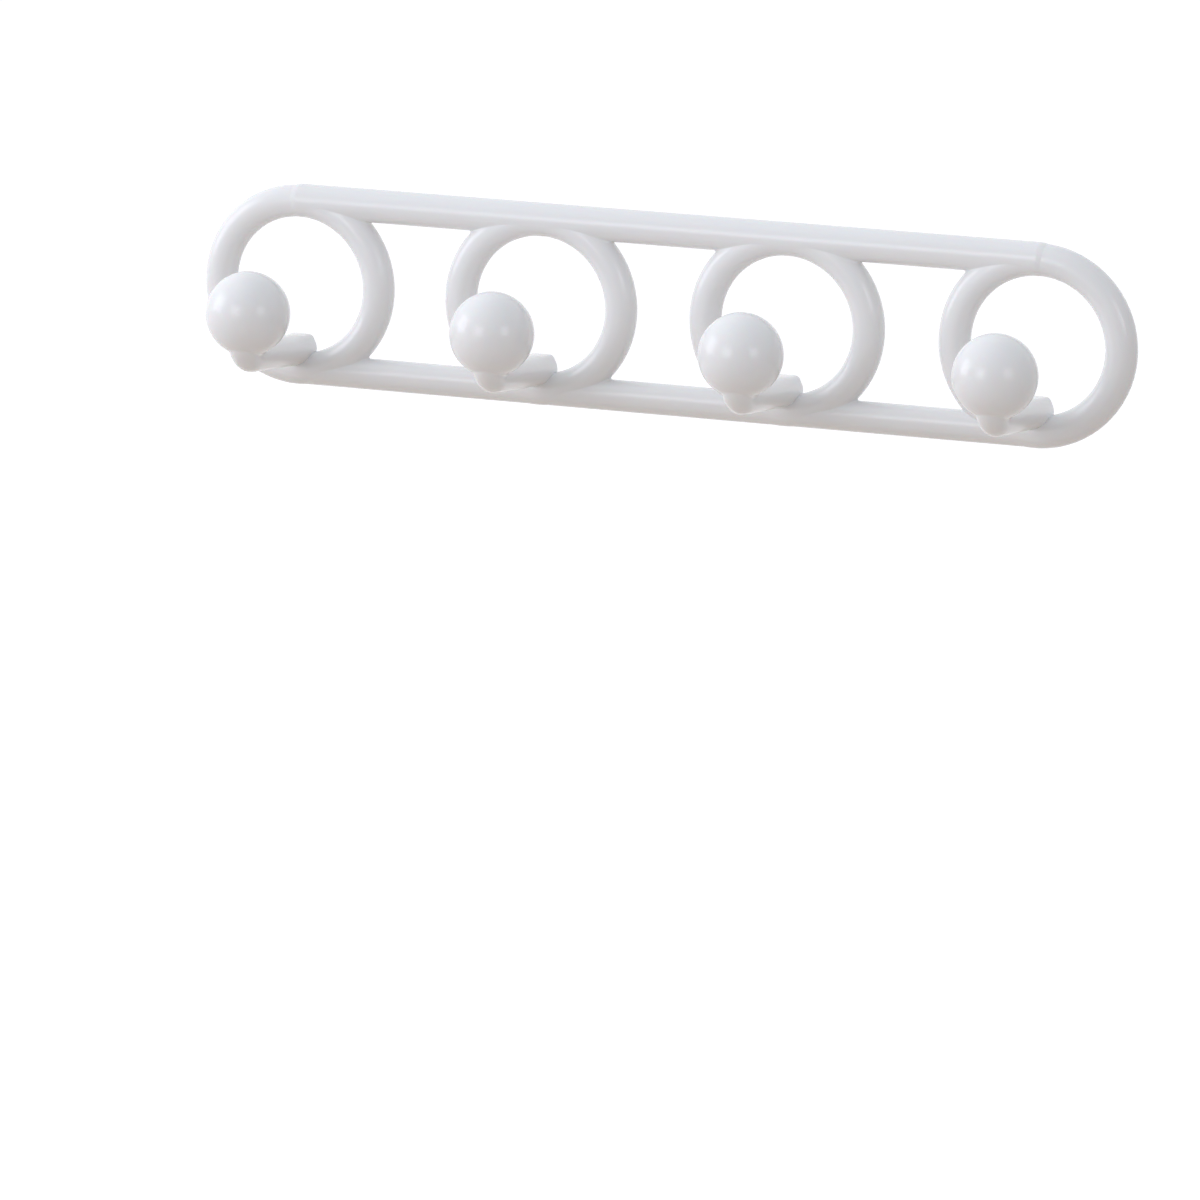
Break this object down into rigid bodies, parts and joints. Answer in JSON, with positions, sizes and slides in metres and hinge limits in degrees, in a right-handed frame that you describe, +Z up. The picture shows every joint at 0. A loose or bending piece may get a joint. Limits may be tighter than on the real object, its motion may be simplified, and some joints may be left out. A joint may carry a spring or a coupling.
{
  "type": "wall hook rack",
  "caption": "White moulded wall rack: a row of open rings between two round rails, with a ball-ended hook rising from each ring, hung from the wall on hidden keyholes.",
  "frame": {"origin": "midway between the two keyhole entries, in the plane of the back face that lies on the wall", "axes": "+X along the rack to the viewer's right, +Y into the wall, +Z up; the rack stands in front of the wall at negative y"},
  "size_m": [0.499, 0.0968, 0.1036],
  "materials": {
    "white_body": "glossy moulded ABS, white",
    "white_back": "moulded ABS, white, satin on its back",
    "white_hooks": "glossy moulded ABS, white",
    "steel_screws": "zinc-plated steel"
  },
  "bodies": {
    "root": {"front_shell": "white_body", "back_shell": "white_back", "hook_1": "white_hooks", "hook_2": "white_hooks", "hook_3": "white_hooks", "hook_4": "white_hooks", "hook_screw_1": "steel_screws", "hook_screw_2": "steel_screws", "hook_screw_3": "steel_screws", "hook_screw_4": "steel_screws", "shell_screw_1": "steel_screws", "shell_screw_2": "steel_screws", "shell_screw_3": "steel_screws", "shell_screw_4": "steel_screws", "shell_screw_5": "steel_screws", "shell_screw_6": "steel_screws", "shell_screw_7": "steel_screws", "shell_screw_8": "steel_screws", "shell_screw_9": "steel_screws", "shell_screw_10": "steel_screws"}
  },
  "joints": []
}
